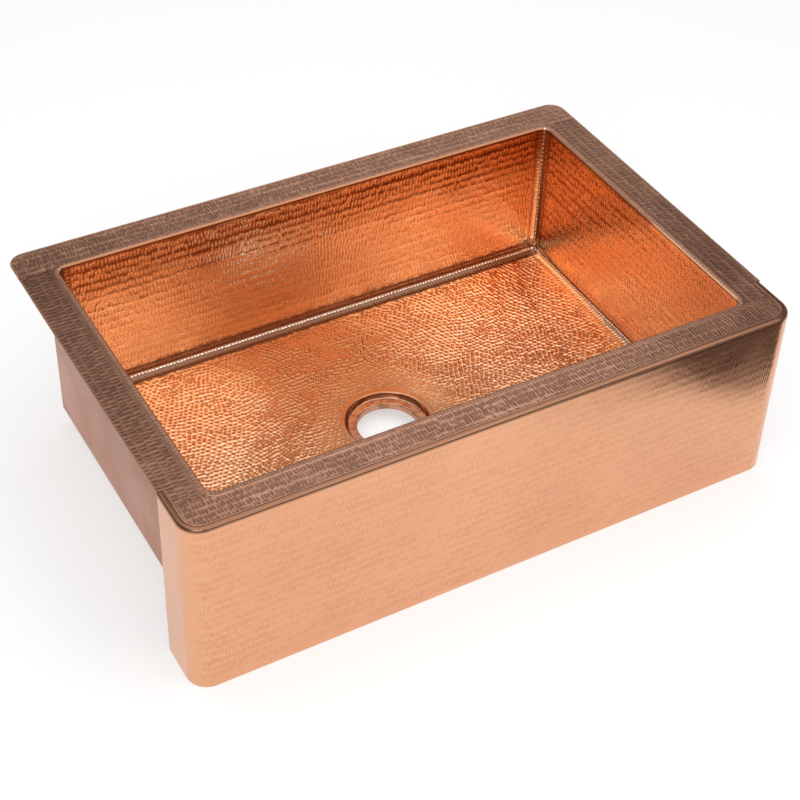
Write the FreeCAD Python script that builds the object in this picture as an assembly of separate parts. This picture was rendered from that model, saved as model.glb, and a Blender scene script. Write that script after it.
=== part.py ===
"""Farmhouse apron front kitchen sink in hammered sheet copper.

A single basin of five hammered sheets is welded along its coves and its rounded top lip is welded
to a flat rim of four strips. A smooth outer casing closes the double wall, and a tall apron skin
with rounded ends and short side returns hangs from the front of the rim.

Millimetres, +Z up, +X along the sink's length, the apron faces -Y.
The origin is at the bottom centre of the whole sink's box.
"""
import os

import FreeCAD, Part
from FreeCAD import Placement, Rotation, Vector
from math import asin, cos, degrees, pi, radians, sin, sqrt

os.makedirs("parts", exist_ok=True)

# ---------------------------------------------------------------- driving sizes
length = 838.2              # overall, left to right
width = 558.8               # overall, apron face to back edge
height = 260.0              # apron's lower edge to rim top

sheet = 1.6                 # copper sheet of basin, casing and apron
rim_thickness = 2.0         # heavier flat strip of the rim
rim_width = 50.8            # outer edge to the basin's inner wall face
rim_back_corner = 22.0      # plan radius of the rim's back corners
rim_edge_bevel = 0.5        # softened upper edge of the open rim

basin_depth = 215.0         # rim top to the floor beside a wall
cove = 12.0                 # inner radius of every cove and upright corner
lip_round = 4.0             # rounded top edge where a wall turns out to the rim
lip_width = 7.0             # inner wall face to the end of the turned out lip

floor_band = 22.0           # level strip of floor beside the walls
floor_band_corner = 30.0    # plan radius of that strip's inner edge
floor_fall = 10.0           # from the level strip down to the drain recess
drain_offset_x = -10.0      # the drain lies a little left of the middle
drain_offset_y = 0.0
drain_bore = 42.0           # radius of the clear drain hole
seat_width = 12.0           # flat seat around it for a strainer flange
recess_draft = 3.5          # how far the recess's wall leans outwards over its depth
recess_depth = 8.0
recess_margin = 4.5         # level ring around the recess shoulder
corner_creases = 4          # facets into which each corner of the sloping floor is dressed
shoulder_round = 3.0        # rounded upper edge of the recess
hole_bevel = 1.5            # dressed upper edge of the drain hole
recess_bend = 0.8           # small flat in the bend at the foot of the recess's wall
recess_clearance = 3.8      # underside of the seat to the casing pan
collar_drop = 2.0           # how far the drain collar stands out under the casing pan

overhang = 38.1             # free rim beyond the casing, which lies on the worktop
casing_corner = 6.0         # outer bend radius of casing and pan
pan_wall = 14.0             # upturned edge of the pan
front_panel_margin = 21.0   # casing side face to the end of the front panel
pan_hole_clearance = 0.4    # radial, around the drain collar

apron_corner = 28.0         # plan radius of the apron's two front corners
apron_return = 77.0         # depth of the returns at both ends
apron_fold = 5.0            # rounded top fold of the apron
apron_lip = 6.5             # outer face to the end of that fold
apron_hem = 12.0            # width of the turned in lower hem
apron_hem_bevel = 0.8       # dressed lower edge
apron_seam = 1.0            # solder line between apron fold and rim
seam_recess = 0.4           # how far that line lies below the rim's face

weld_gap = 3.0              # root gap filled by each basin weld
rim_weld_gap = 2.0          # root gap between the rim strips
lip_weld_gap = 1.5          # root gap between lip and rim
casing_weld_gap = 2.0
weld_crown = 0.5            # how far a bead stands proud of both sheet faces
fillet_weld = 3.0           # leg of the fillet welds
fillet_toe = 0.3            # blunt lower toe of the weld between casing and rim
collar_weld_leg = 1.8       # leg along the drain collar, short of the collar's end
weld_toe_clearance = 0.5    # from a fillet weld's toe to what the sink may rest on
flush_weld_height = 8.0     # the corner welds are ground flush this far below the rim

# ---------------------------------------------------------------- derived places
rim_top = height
half_length = length / 2
half_width = width / 2
wall_x = half_length - rim_width            # basin's inner faces
wall_y = half_width - rim_width
floor_z = rim_top - basin_depth
cove_x = wall_x - cove                      # axes of the coves
cove_y = wall_y - cove
cove_z = floor_z + cove
lip_corner = cove + lip_width
sheet_under_lip = rim_top - sheet
rim_under = rim_top - rim_thickness
rim_inner_x = wall_x + lip_width + lip_weld_gap
rim_inner_y = wall_y + lip_width + lip_weld_gap
rim_inner_corner = lip_corner + lip_weld_gap
rim_seam_y = wall_y + lip_width - lip_corner * (1 - cos(radians(45)))

drain_x = drain_offset_x
drain_y = drain_offset_y
recess_seat = drain_bore + seat_width       # outer radius of the flat seat
recess_radius = recess_seat + recess_draft
ring_radius = recess_radius + recess_margin
collar_outer = drain_bore + sheet
dish_z = floor_z - floor_fall               # floor level at the recess
seat_z = dish_z - recess_depth

casing_x = half_length - overhang
casing_y = half_width - overhang
pan_under = seat_z - sheet - recess_clearance - sheet
pan_top = pan_under + pan_wall
casing_foot = pan_top + casing_weld_gap
collar_foot = pan_under - collar_drop
panel_x = casing_x - front_panel_margin

apron_end_y = -half_width + apron_return
rim_inset = apron_lip + apron_seam

FAR = 2000.0                                # beyond every face of the sink
PAST = 1.0                                  # how far a cutting tool runs past what it cuts
NEAR = 0.01                                 # slack with which an edge is recognised by its place


# ---------------------------------------------------------------- shared operations
def quarter_arc(centre, radius, start):
    """Level quarter circle that begins at the start angle."""
    angles = [radians(start + step) for step in (0, 45, 90)]
    return Part.Arc(*[centre + Vector(radius * cos(a), radius * sin(a), 0) for a in angles]).toShape()


def rounded_outline(x, y_front, y_back, r_front, r_back):
    """Closed plan outline, symmetric in X, with its own radii at the front and back corners."""
    arcs = [
        quarter_arc(Vector(x - r_back, y_back - r_back, 0), r_back, 0),
        quarter_arc(Vector(-x + r_back, y_back - r_back, 0), r_back, 90),
        quarter_arc(Vector(-x + r_front, y_front + r_front, 0), r_front, 180),
        quarter_arc(Vector(x - r_front, y_front + r_front, 0), r_front, 270),
    ]
    edges = []
    for index, arc in enumerate(arcs):
        following = arcs[(index + 1) % len(arcs)]
        edges += [arc, Part.LineSegment(arc.lastVertex().Point, following.firstVertex().Point).toShape()]
    return Part.Wire(edges)


def prism(x, y_front, y_back, z_low, z_high, r_front, r_back):
    """Upright solid over a rounded outline."""
    face = Part.Face(rounded_outline(x, y_front, y_back, r_front, r_back))
    face.translate(Vector(0, 0, z_low))
    return face.extrude(Vector(0, 0, z_high - z_low))


def centred_prism(x, y, z_low, z_high, r):
    return prism(x, -y, y, z_low, z_high, r, r)


def trough(x, y, z_low, z_high, r):
    """Centred upright solid whose upright corners and lower edges are rounded alike."""
    box = Part.makeBox(2 * x, 2 * y, z_high - z_low, Vector(-x, -y, z_low))
    rounded = [edge for edge in box.Edges if edge.BoundBox.ZMin < z_high - PAST]
    return box.makeFillet(r, rounded)


def half_space(point, normal):
    """Everything on the side of a plane to which its normal points."""
    block = Part.makeBox(2 * FAR, 2 * FAR, FAR, Vector(-FAR, -FAR, 0))
    block.Placement = Placement(point, Rotation(Vector(0, 0, 1), normal))
    return block


def keep(shape, planes):
    """The part of a shape on the positive side of every (point, normal) plane."""
    for point, normal in planes:
        shape = shape.common(half_space(point, normal))
    return shape


def level_at(box, z):
    return abs(box.ZMin - z) < NEAR and abs(box.ZMax - z) < NEAR


def edges_on(shape, z, inside_x=FAR, inside_y=FAR):
    """Edges that lie level at z and within a rectangle about the origin."""
    found = []
    for edge in shape.Edges:
        box = edge.BoundBox
        within = max(-box.XMin, box.XMax) < inside_x and max(-box.YMin, box.YMax) < inside_y
        if level_at(box, z) and within:
            found.append(edge)
    return found


def bead_profile(centre, outward, across, gap):
    """Section of a butt weld: flat flanks on the root gap, a crown above and below the sheet."""
    half_gap = gap / 2
    half_sheet = sheet / 2
    crown = half_sheet + weld_crown

    def at(a, o):
        return centre + across * a + outward * o

    outer = Part.Arc(at(-half_gap, half_sheet), at(0, crown), at(half_gap, half_sheet)).toShape()
    inner = Part.Arc(at(half_gap, -half_sheet), at(0, -crown), at(-half_gap, -half_sheet)).toShape()
    flanks = [
        Part.LineSegment(at(half_gap, half_sheet), at(half_gap, -half_sheet)).toShape(),
        Part.LineSegment(at(-half_gap, -half_sheet), at(-half_gap, half_sheet)).toShape(),
    ]
    return Part.Face(Part.Wire([outer, flanks[0], inner, flanks[1]]))


def save(shape, node, landing=None):
    """Write one piece. A landing outlines the area of a flat face that something else rests on."""
    solid, = shape.removeSplitter().Solids
    if landing:
        solid, = solid.generalFuse([landing])[0].Solids
    assert solid.isValid(), node
    solid.exportStep("parts/%s.step" % node)


# ---------------------------------------------------------------- basin shell and its cut planes
def basin_shell():
    """The five basin sheets as one skin of even thickness, with the turned out lip."""
    outside = trough(wall_x + sheet, wall_y + sheet, floor_z - sheet, rim_top, cove + sheet)
    lip = centred_prism(wall_x + lip_width, wall_y + lip_width, sheet_under_lip, rim_top, lip_corner)
    body = outside.fuse(lip).removeSplitter()
    under_lip = edges_on(body, sheet_under_lip, wall_x + 2 * sheet, wall_y + 2 * sheet)
    body = body.makeFillet(lip_round - sheet, under_lip)
    skin = body.cut(trough(wall_x, wall_y, floor_z, rim_top + PAST, cove))
    mouth = edges_on(skin, rim_top, wall_x + sheet, wall_y + sheet)
    return skin.makeFillet(lip_round, mouth)


def cove_plane(side, offset):
    """The 45 degree plane through a floor cove's axis, shifted by offset towards the wall."""
    axis = Vector(side.x * cove_x, side.y * cove_y, cove_z)
    normal = (side + Vector(0, 0, 1)).normalize()
    return axis + normal * offset, normal


def corner_plane(corner, towards, offset):
    """The upright 45 degree plane through a corner's axis, shifted towards one of its walls."""
    axis = Vector(corner.x * cove_x, corner.y * cove_y, 0)
    away = Vector(corner.x, corner.y, 0) - towards
    normal = (towards - away).normalize()
    return axis + normal * offset, normal


SIDES = {
    "front": Vector(0, -1, 0),
    "back": Vector(0, 1, 0),
    "left": Vector(-1, 0, 0),
    "right": Vector(1, 0, 0),
}
CORNERS = {
    "front_left": Vector(-1, -1, 0),
    "front_right": Vector(1, -1, 0),
    "back_left": Vector(-1, 1, 0),
    "back_right": Vector(1, 1, 0),
}


def flipped(plane):
    point, normal = plane
    return point, normal * -1


def corners_of(side):
    return [corner for corner in CORNERS.values() if corner.dot(side) > 0]


def basin_wall(shell, side):
    planes = [cove_plane(side, weld_gap / 2)]
    planes += [corner_plane(corner, side, weld_gap / 2) for corner in corners_of(side)]
    return keep(shell, planes)


# ---------------------------------------------------------------- floor, dish and drain recess
def quarter_chords(centre, radius, start):
    """Level quarter turn of straight hammered creases, beginning at the start angle."""
    angles = [radians(start + 90 * step / corner_creases) for step in range(corner_creases + 1)]
    return [centre + Vector(radius * cos(a), radius * sin(a), 0) for a in angles]


def dish(z_shift):
    """Solid under the level floor that falls to the recess, like a square to round transition.

    Each straight side is a flat triangle that touches the recess margin, and each corner a fan.
    """
    across = wall_x - floor_band - floor_band_corner
    along = wall_y - floor_band - floor_band_corner
    high = floor_z + z_shift
    margin_centre = Vector(drain_x, drain_y, dish_z + z_shift)
    margin_radius = ring_radius / cos(pi / (4 * corner_creases))
    upper = []
    lower = []
    for index, (sx, sy) in enumerate(((1, 1), (-1, 1), (-1, -1), (1, -1))):
        corner = Vector(sx * across, sy * along, high)
        upper.append(quarter_chords(corner, floor_band_corner, 90 * index))
        lower.append(quarter_chords(margin_centre, margin_radius, 90 * index))
    outlines = []
    for index in range(4):
        for step in range(corner_creases):
            low, high_pair = lower[index][step:step + 2], upper[index][step:step + 2]
            outlines.append([high_pair[0], high_pair[1], low[1], low[0]])
        outlines.append([upper[index][-1], upper[(index + 1) % 4][0], lower[index][-1]])
    outlines.append([point for quarter in upper for point in quarter])
    outlines.append([point for quarter in lower for point in quarter[:-1]])
    faces = [Part.Face(Part.makePolygon(outline + outline[:1])) for outline in outlines]
    shell = Part.makeShell(faces)
    shell.sewShape()
    solid = Part.makeSolid(shell)
    if solid.Volume < 0:
        solid.reverse()
    return solid


def drain_circle(shape, radius_at, z_at):
    """The full circle of a given radius and level about the drain's axis."""
    for edge in shape.Edges:
        box = edge.BoundBox
        if level_at(box, z_at) and abs(box.XMax - drain_x - radius_at) < NEAR:
            return [edge]
    raise ValueError("no circle of radius %s at level %s" % (radius_at, z_at))


def drain_ring():
    """Pressed recess with its flat seat and the collar that passes through the casing pan."""
    slope = recess_draft / recess_depth
    under = sheet * sqrt(1 + slope ** 2) - sheet * slope
    profile = [
        (ring_radius, dish_z),
        (recess_radius, dish_z),
        (recess_seat, seat_z),
        (drain_bore, seat_z),
        (drain_bore, collar_foot),
        (collar_outer, collar_foot),
        (collar_outer, seat_z - sheet),
        (recess_seat + under, seat_z - sheet),
        (recess_radius + under, dish_z - sheet),
        (ring_radius, dish_z - sheet),
    ]
    points = [Vector(drain_x + r, drain_y, z) for r, z in profile]
    face = Part.Face(Part.makePolygon(points + points[:1]))
    ring = face.revolve(Vector(drain_x, drain_y, 0), Vector(0, 0, 1), 360)
    ring = ring.makeFillet(shoulder_round, drain_circle(ring, recess_radius, dish_z))
    ring = ring.makeChamfer(recess_bend, drain_circle(ring, recess_seat, seat_z))
    return ring.makeChamfer(hole_bevel, drain_circle(ring, drain_bore, seat_z))


def basin_floor(shell):
    level = keep(shell, [flipped(cove_plane(side, -weld_gap / 2)) for side in SIDES.values()])
    sheet_metal = level.fuse(dish(-sheet)).cut(dish(0))
    eye = Part.makeCylinder(ring_radius, FAR, Vector(drain_x, drain_y, dish_z - FAR / 2))
    return sheet_metal.cut(eye).fuse(drain_ring())


# ---------------------------------------------------------------- basin welds
POLE_ANGLE = degrees(asin(1 / sqrt(3)))     # from a cove's middle to the corner where three meet
POLE_OVERRUN = 8.0                          # a bead is swung this far beyond and then cut back


def pole_planes(corner, run):
    """The two planes that part a bead from its two neighbours where three beads meet.

    run is the direction in which the bead leaves the corner: along X, along Y or up.
    """
    centre = Vector(corner.x * cove_x, corner.y * cove_y, cove_z)
    outward = [Vector(corner.x, 0, 0), Vector(0, corner.y, 0), Vector(0, 0, -1)]
    own = outward[run]
    return [(centre, other - own) for index, other in enumerate(outward) if index != run]


def corner_arc(profile, centre, normal, turn_towards, start_direction):
    """Swing a bead's section about a corner's centre, a little past where three beads meet."""
    turn = start_direction.cross(turn_towards)
    sign = 1 if turn.dot(normal) > 0 else -1
    return profile.revolve(centre, normal * sign, POLE_ANGLE + POLE_OVERRUN)


def floor_weld(side):
    """Bead along one floor cove, carried on round both corners to where it meets its neighbours."""
    run = 0 if side.x == 0 else 1
    along = Vector(1, 0, 0) if run == 0 else Vector(0, 1, 0)
    reach = cove_x if run == 0 else cove_y
    normal = (side + Vector(0, 0, 1)).normalize()
    outward = (side - Vector(0, 0, 1)).normalize()
    axis = Vector(side.x * cove_x, side.y * cove_y, cove_z)
    middle = outward * (cove + sheet / 2)
    start = axis - along * reach
    end = axis + along * reach
    section = bead_profile(start + middle, outward, normal, weld_gap)
    bead = section.extrude(along * (2 * reach))
    last = bead_profile(end + middle, outward, normal, weld_gap)
    bead = bead.fuse(corner_arc(section, start, normal, along * -1, outward))
    bead = bead.fuse(corner_arc(last, end, normal, along, outward))
    for corner in corners_of(side):
        bead = keep(bead, pole_planes(corner, run))
    return bead


def corner_weld(shell, corner):
    """Bead up one corner of the basin, ground flush across the lip."""
    outward = Vector(corner.x, corner.y, 0).normalize()
    across = Vector(-corner.y, corner.x, 0).normalize()
    centre = Vector(corner.x * cove_x, corner.y * cove_y, cove_z)
    flush_z = rim_top - flush_weld_height
    section = bead_profile(centre + outward * (cove + sheet / 2), outward, across, weld_gap)
    bead = section.extrude(Vector(0, 0, flush_z - cove_z))
    bead = bead.fuse(corner_arc(section, centre, across, Vector(0, 0, -1), outward))
    bead = keep(bead, pole_planes(corner, 2))
    middle = Vector(centre.x, centre.y, 0)
    flush = keep(shell, [
        (Vector(0, 0, flush_z), Vector(0, 0, 1)),
        (middle - across * (weld_gap / 2), across),
        (middle + across * (weld_gap / 2), across * -1),
        (middle, outward),
    ])
    return bead.fuse(flush)


# ---------------------------------------------------------------- rim
def rim_outline(inset, z_low, z_high):
    """The sink's plan outline, drawn in by an inset."""
    return prism(
        half_length - inset, -half_width + inset, half_width - inset, z_low, z_high,
        apron_corner - inset, rim_back_corner - inset,
    )


def apron_zone(inset, end_gap):
    """Band along the front and both returns, from the outer face inwards."""
    band = rim_outline(0, rim_under - PAST, rim_top + PAST)
    band = band.cut(rim_outline(inset, rim_under - 2 * PAST, rim_top + 2 * PAST))
    return keep(band, [(Vector(0, apron_end_y + end_gap, 0), Vector(0, -1, 0))])


def rim_blank():
    """All four rim strips before they are parted."""
    blank = rim_outline(0, rim_under, rim_top)
    blank = blank.makeChamfer(rim_edge_bevel, edges_on(blank, rim_top))
    opening = centred_prism(
        rim_inner_x, rim_inner_y, rim_under - PAST, rim_top + PAST, rim_inner_corner
    )
    return blank.cut(opening).cut(apron_zone(rim_inset, apron_seam))


def rim_strip(blank, side):
    half_gap = rim_weld_gap / 2
    if side.y:
        return keep(blank, [(side * (rim_seam_y + half_gap), side)])
    ends = [(Vector(0, sign * (rim_seam_y - half_gap), 0), Vector(0, -sign, 0)) for sign in (-1, 1)]
    return keep(blank, ends + [(Vector(0, 0, 0), side)])


def rim_weld(blank, corner):
    """Planished butt weld between a long strip and a side strip."""
    half_gap = rim_weld_gap / 2
    seam = Vector(0, corner.y * rim_seam_y, 0)
    across = Vector(0, corner.y, 0)
    return keep(blank, [
        (seam - across * half_gap, across),
        (seam + across * half_gap, across * -1),
        (Vector(0, 0, 0), Vector(corner.x, 0, 0)),
    ])


def lip_seam():
    """Weld line around the mouth, between the basin's lip and the rim."""
    ring = centred_prism(rim_inner_x, rim_inner_y, sheet_under_lip, rim_top, rim_inner_corner)
    lip = centred_prism(
        wall_x + lip_width, wall_y + lip_width, sheet_under_lip - PAST, rim_top + PAST, lip_corner
    )
    return ring.cut(lip)


def apron_rim_seam():
    """Solder line between the apron's top fold and the rim, a little below the rim's face."""
    band = rim_outline(apron_lip, rim_under, rim_top - seam_recess)
    band = band.cut(rim_outline(rim_inset, rim_under - PAST, rim_top + PAST))
    return keep(band, [(Vector(0, apron_end_y, 0), Vector(0, -1, 0))])


# ---------------------------------------------------------------- apron
def apron_block(inset):
    """Solid apron and return envelope, drawn in by an inset, with a rounded upper edge."""
    block = prism(
        half_length - inset, -half_width + inset, half_width - inset,
        inset, height - inset, apron_corner - inset, apron_corner - inset,
    )
    return block.makeFillet(apron_fold - inset, edges_on(block, height - inset))


def apron_skin():
    """One sheet: front, rounded ends, returns, top fold and lower hem."""
    outside = apron_block(0)
    outside = outside.makeChamfer(apron_hem_bevel, edges_on(outside, 0))
    skin = outside.cut(apron_block(sheet))
    skin = skin.cut(rim_outline(apron_lip, height / 2, height + PAST))
    skin = skin.cut(rim_outline(apron_hem, -PAST, height / 2))
    return keep(skin, [(Vector(0, apron_end_y, 0), Vector(0, -1, 0))])


# ---------------------------------------------------------------- casing
def casing_ring(z_low, z_high):
    outside = centred_prism(casing_x, casing_y, z_low, z_high, casing_corner)
    inside = centred_prism(
        casing_x - sheet, casing_y - sheet, z_low - PAST, z_high + PAST, casing_corner - sheet
    )
    return outside.cut(inside)


def front_window(half_span):
    """Block through the casing's front face only, used to part the front panel from the wrap."""
    return Part.makeBox(
        2 * half_span, sheet + 2 * PAST, 2 * FAR, Vector(-half_span, -casing_y - PAST, -FAR)
    )


def casing_wrap():
    return casing_ring(casing_foot, rim_under).cut(front_window(panel_x + casing_weld_gap / 2))


def casing_front_panel():
    return casing_ring(casing_foot, rim_under).common(front_window(panel_x - casing_weld_gap / 2))


def casing_front_weld(sign):
    centre = Vector(sign * panel_x, -casing_y + sheet / 2, casing_foot)
    section = bead_profile(centre, Vector(0, -1, 0), Vector(1, 0, 0), casing_weld_gap)
    return section.extrude(Vector(0, 0, rim_under - fillet_weld - casing_foot))


def casing_pan():
    outside = trough(casing_x, casing_y, pan_under, pan_top, casing_corner)
    inside = trough(
        casing_x - sheet, casing_y - sheet, pan_under + sheet, pan_top + casing_corner,
        casing_corner - sheet,
    )
    hole = Part.makeCylinder(
        collar_outer + pan_hole_clearance, 2 * FAR, Vector(drain_x, drain_y, -FAR)
    )
    return outside.cut(inside).cut(hole)


def worktop_landing():
    """Outline on the rim's underside outside which the sink may lie on the worktop."""
    reach = fillet_weld + weld_toe_clearance
    outline = rounded_outline(
        casing_x + reach, -casing_y - reach, casing_y + reach, casing_corner + reach, casing_corner + reach
    )
    outline.translate(Vector(0, 0, rim_under))
    return Part.Face(outline)


def shelf_landing():
    """Circle on the pan's underside outside which the sink may stand on a shelf."""
    radius = collar_outer + fillet_weld + weld_toe_clearance
    circle = Part.makeCircle(radius, Vector(drain_x, drain_y, pan_under))
    return Part.Face(Part.Wire([circle]))


def casing_rim_weld():
    """Fillet weld that hangs the casing under the rim."""
    ring = centred_prism(
        casing_x + fillet_weld, casing_y + fillet_weld, rim_under - fillet_weld, rim_under,
        casing_corner + fillet_weld,
    )
    foot = edges_on(ring, rim_under - fillet_weld)
    ring = ring.makeChamfer(fillet_weld - fillet_toe, foot)
    return ring.cut(centred_prism(casing_x, casing_y, casing_foot, rim_top, casing_corner))


def drain_collar_weld():
    """Fillet weld that closes the pan against the drain collar."""
    section = [
        (collar_outer, pan_under - collar_weld_leg),
        (collar_outer, pan_under),
        (collar_outer + fillet_weld, pan_under),
    ]
    points = [Vector(drain_x + r, drain_y, z) for r, z in section]
    face = Part.Face(Part.makePolygon(points + points[:1]))
    return face.revolve(Vector(drain_x, drain_y, 0), Vector(0, 0, 1), 360)


# ---------------------------------------------------------------- build
shell = basin_shell()
for name, side in SIDES.items():
    save(basin_wall(shell, side), "basin_wall_" + name)
    save(floor_weld(side), "floor_weld_" + name)
save(basin_floor(shell), "basin_floor")
for name, corner in CORNERS.items():
    save(corner_weld(shell, corner), "corner_weld_" + name)

blank = rim_blank()
for name, side in SIDES.items():
    save(rim_strip(blank, side), "rim_" + name, None if name == "front" else worktop_landing())
for name, corner in CORNERS.items():
    save(rim_weld(blank, corner), "rim_weld_" + name)
save(lip_seam(), "lip_seam_weld")
save(apron_rim_seam(), "apron_seam_solder")
save(apron_skin(), "apron_skin")

save(casing_wrap(), "casing_wrap")
save(casing_front_panel(), "casing_front_panel")
save(casing_front_weld(-1), "casing_weld_left")
save(casing_front_weld(1), "casing_weld_right")
save(casing_pan(), "casing_pan", shelf_landing())
save(casing_ring(pan_top, casing_foot), "pan_seam_weld")
save(casing_rim_weld(), "casing_rim_weld")
save(drain_collar_weld(), "drain_collar_weld")
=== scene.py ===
"""Looks of the farmhouse apron front sink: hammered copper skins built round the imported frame.

Geometry is worked out in millimetres and written to the meshes in metres.
"""

import math

import bpy
import numpy as np
from mathutils import Matrix, Vector


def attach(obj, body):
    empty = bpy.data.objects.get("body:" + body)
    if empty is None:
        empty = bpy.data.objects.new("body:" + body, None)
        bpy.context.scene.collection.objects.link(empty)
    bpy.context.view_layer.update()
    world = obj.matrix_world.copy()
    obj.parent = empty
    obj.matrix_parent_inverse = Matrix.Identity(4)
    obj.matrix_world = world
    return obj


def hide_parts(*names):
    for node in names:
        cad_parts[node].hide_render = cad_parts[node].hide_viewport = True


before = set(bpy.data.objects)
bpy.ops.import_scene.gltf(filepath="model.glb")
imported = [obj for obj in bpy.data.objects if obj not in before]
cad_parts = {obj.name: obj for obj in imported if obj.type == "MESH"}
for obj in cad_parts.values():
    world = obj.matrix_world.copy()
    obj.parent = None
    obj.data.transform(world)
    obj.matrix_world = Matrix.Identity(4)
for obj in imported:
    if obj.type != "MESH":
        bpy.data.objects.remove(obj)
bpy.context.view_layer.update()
scene = bpy.context.scene
join = np.concatenate

# ---- sizes, as in the frame (mm)
HALF_L, HALF_W, TOP = 419.1, 279.4, 260.0
SHEET, RIM_THICK = 1.6, 2.0
WALL_X, WALL_Y = 368.3, 228.6
FLOOR_Z, COVE = 45.0, 12.0
COVE_X, COVE_Y, COVE_Z = WALL_X - COVE, WALL_Y - COVE, FLOOR_Z + COVE
LIP_ROUND, LIP_WIDTH = 4.0, 7.0
SEAM = 1.5  # lip to rim
RIM_IN = LIP_WIDTH + SEAM
RIM_SEAM_Y = 230.035  # middle of the butt seams
RIM_INSET = 7.5  # rim edge behind the apron's fold
RETURN_Y = -HALF_W + 77.0
APRON_R, APRON_FOLD, APRON_LIP, APRON_HEM, HEM_BEVEL = 28.0, 5.0, 6.5, 12.0, 0.8
BACK_R = 22.0
DRAIN_X, DRAIN_Y = -10.0, 0.0
BORE, SEAT_R, RECESS_R, RING_R = 42.0, 54.0, 57.5, 62.0
DISH_Z, SEAT_Z, COLLAR_Z = 35.0, 27.0, 18.0
BEAD_GAP = 3.0
BAND = 22.0  # level strip of floor beside the walls
SHOULDER = 3.0  # rounded upper edge of the drain recess
HOLE_BEVEL = 1.5
BUTT = 1.0  # half the gap between two rim strips
MM = 0.001

# ---- hammer marks (mm)
WALL_DEPTH, FLOOR_DEPTH, RIM_DEPTH, APRON_DEPTH = 0.62, 1.30, 0.46, 0.18
TICK_DEPTH, FLOOR_TICK_DEPTH, BRIM_DEPTH = 0.50, 0.65, 0.22
WALL_PITCH, WALL_ROW = 4.8, 11.5
FLOOR_PITCH, TICK_PITCH = 6.0, 5.0
LONG_PITCH, LONG_ROW = 3.7, 9.2  # front and back strips of the rim
SIDE_PITCH, SIDE_ROW = 5.6, 10.2
APRON_PITCH, APRON_ROW = 3.3, 12.0
BEAD_CROWN = 0.8
WALL_TOP_SHADE_SHARE = {"front": 0.8, "back": 1.0, "left": 0.7, "right": 0.2}  # painted shade: how far each wall's top is painted darker
SEAM_SCALING_AND_SHADE = {"front": 0.6, "back": 1.0, "left": 0.6, "right": 0.2}  # weld scale and painted shade along the foot of each wall
RIM_SHADE = {"front": 0.14, "back": 0.0, "left": 0.70, "right": 0.62}  # painted shade: how much darker each rim strip is painted

# ---- studio (metres, watts)
FLOOR_TONE, FLOOR_GLOW = 0.53, 0.53
WORLD_LEVELS = ((0.0, 0.32), (0.35, 0.27), (1.0, 0.36))
CARD = ((0.314, -0.544), (0.20, -0.75), (0.9, -1.1), (1.3, -0.4), (0.482, -0.412))
SOFTBOXES = (
    ("softbox_top", (0.0, -0.1, 2.4), (0, 0, 0), 3.6, 3.2, 42.0),
    ("softbox_front_left", (-1.233, -1.637, 1.6), (0, 0, 0.1), 1.5, 1.1, 11.0),
    ("softbox_front_right", (0.872, -1.79, 1.67), (0, 0, 0.1), 1.9, 1.4, 11.5),
    ("softbox_back_left", (-1.3, 1.5, 1.54), (0, 0, 0.1), 1.1, 0.9, 3.0),
    ("softbox_back_right", (0.95, 1.64, 1.6), (0, 0, 0.1), 1.5, 1.0, 3.0),
)


# ---- pressing the marks
class Marks:
    """Depth of hammer marks over a rectangle, kept on a fine grid of numbers."""

    cell = 0.5

    def __init__(self, u0, v0, u1, v1):
        self.u0, self.v0 = u0, v0
        self.data = np.zeros((int((v1 - v0) / self.cell) + 2, int((u1 - u0) / self.cell) + 2))

    def strike(self, u, v, half_u, half_v, depth, angle=0.0, square=2.0):
        """Press marks of given half sizes. Where marks meet, the deeper wins and a ridge stays."""
        u, v, half_u, half_v, depth, angle = np.broadcast_arrays(u, v, half_u, half_v, depth, angle)
        data, cell = self.data, self.cell
        rows, cols = data.shape
        for a, b, ha, hb, d, turn in zip(*(x.ravel() for x in (u, v, half_u, half_v, depth, angle))):
            reach_u = abs(ha * math.cos(turn)) + abs(hb * math.sin(turn))
            reach_v = abs(ha * math.sin(turn)) + abs(hb * math.cos(turn))
            i0 = max(int((a - reach_u - self.u0) / cell), 0)
            i1 = min(int((a + reach_u - self.u0) / cell) + 2, cols)
            j0 = max(int((b - reach_v - self.v0) / cell), 0)
            j1 = min(int((b + reach_v - self.v0) / cell) + 2, rows)
            if i0 >= i1 or j0 >= j1:
                continue
            du = self.u0 + np.arange(i0, i1) * cell - a
            dv = (self.v0 + np.arange(j0, j1) * cell - b)[:, None]
            along = (-du * math.sin(turn) + dv * math.cos(turn)) / hb
            across = (du * math.cos(turn) + dv * math.sin(turn)) / ha
            dent = d * (1 - across ** 2 - np.abs(along) ** square)
            np.maximum(data[j0:j1, i0:i1], dent, out=data[j0:j1, i0:i1])

    def soften(self, times):
        """Round off the ridges between the marks."""
        for _ in range(times):
            d = np.pad(self.data, 1, "edge")
            d = (d[:-2] + 2 * d[1:-1] + d[2:]) / 4
            self.data = (d[:, :-2] + 2 * d[:, 1:-1] + d[:, 2:]) / 4

    def at(self, u, v):
        """Depth at points, read between the grid's numbers."""
        x = np.clip((u - self.u0) / self.cell, 0, self.data.shape[1] - 1.001)
        y = np.clip((v - self.v0) / self.cell, 0, self.data.shape[0] - 1.001)
        i, j = x.astype(int), y.astype(int)
        x, y = x - i, y - j
        d = self.data
        near = d[j, i] * (1 - x) + d[j, i + 1] * x
        far = d[j + 1, i] * (1 - x) + d[j + 1, i + 1] * x
        return near * (1 - y) + far * y


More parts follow.
